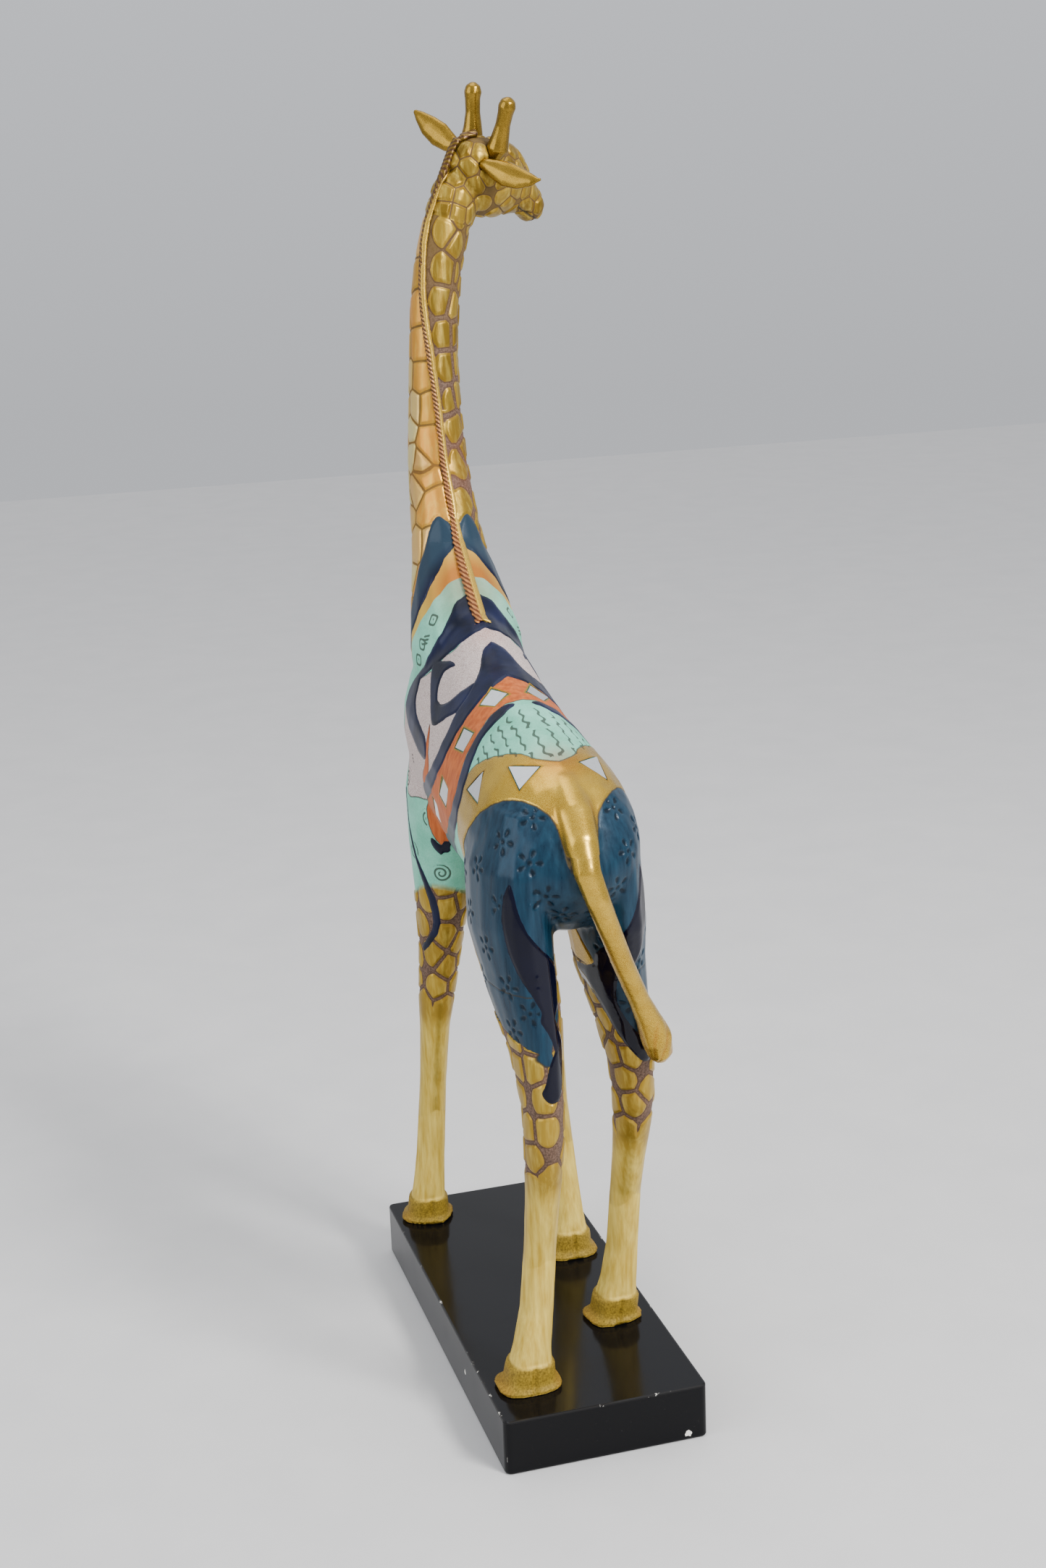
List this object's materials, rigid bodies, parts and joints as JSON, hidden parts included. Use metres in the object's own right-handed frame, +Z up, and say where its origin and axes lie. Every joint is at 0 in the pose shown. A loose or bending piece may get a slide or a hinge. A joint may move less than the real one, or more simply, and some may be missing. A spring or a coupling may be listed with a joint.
{
  "type": "giraffe figurine on plinth",
  "caption": "Standing giraffe figurine, head turned aside, painted castings pinned together and screwed to a low rectangular plinth.",
  "frame": {"origin": "centre of the plinth's underside, on the face that rests on the table", "axes": "+Z up, the animal faces -Y along the plinth, +X is its left side"},
  "size_m": [0.107, 0.2497, 0.5632],
  "materials": {
    "lacquer": "high gloss black lacquer",
    "felt": "matte felt",
    "steel": "satin",
    "gold_paint": "metallic gold paint on cast resin, satin",
    "enamel_paint": "multicolour metallic enamel on cast resin, satin",
    "mirror": "polished"
  },
  "bodies": {
    "root": {"plinth": "lacquer", "felt_pad": "felt", "left_hind_hoof_screw": "steel", "right_hind_hoof_screw": "steel", "left_fore_hoof_screw": "steel", "right_fore_hoof_screw": "steel", "left_hind_leg": "gold_paint", "right_hind_leg": "gold_paint", "left_fore_leg": "gold_paint", "right_fore_leg": "gold_paint", "left_hind_dowel": "steel", "right_hind_dowel": "steel", "left_fore_dowel": "steel", "right_fore_dowel": "steel", "torso": "enamel_paint", "left_saddle_mirror": "mirror", "right_saddle_mirror": "mirror", "left_side_mirror": "mirror", "right_side_mirror": "mirror", "left_flank_mirror": "mirror", "right_flank_mirror": "mirror", "left_belly_mirror": "mirror", "right_belly_mirror": "mirror", "left_croup_mirror": "mirror", "right_croup_mirror": "mirror", "left_hip_mirror": "mirror", "right_hip_mirror": "mirror", "neck": "gold_paint", "neck_dowel": "steel", "head": "gold_paint", "head_dowel": "steel", "left_ossicone": "gold_paint", "right_ossicone": "gold_paint", "left_ear": "gold_paint", "right_ear": "gold_paint", "mane": "gold_paint", "tail": "gold_paint", "tail_pin": "steel"}
  },
  "joints": []
}
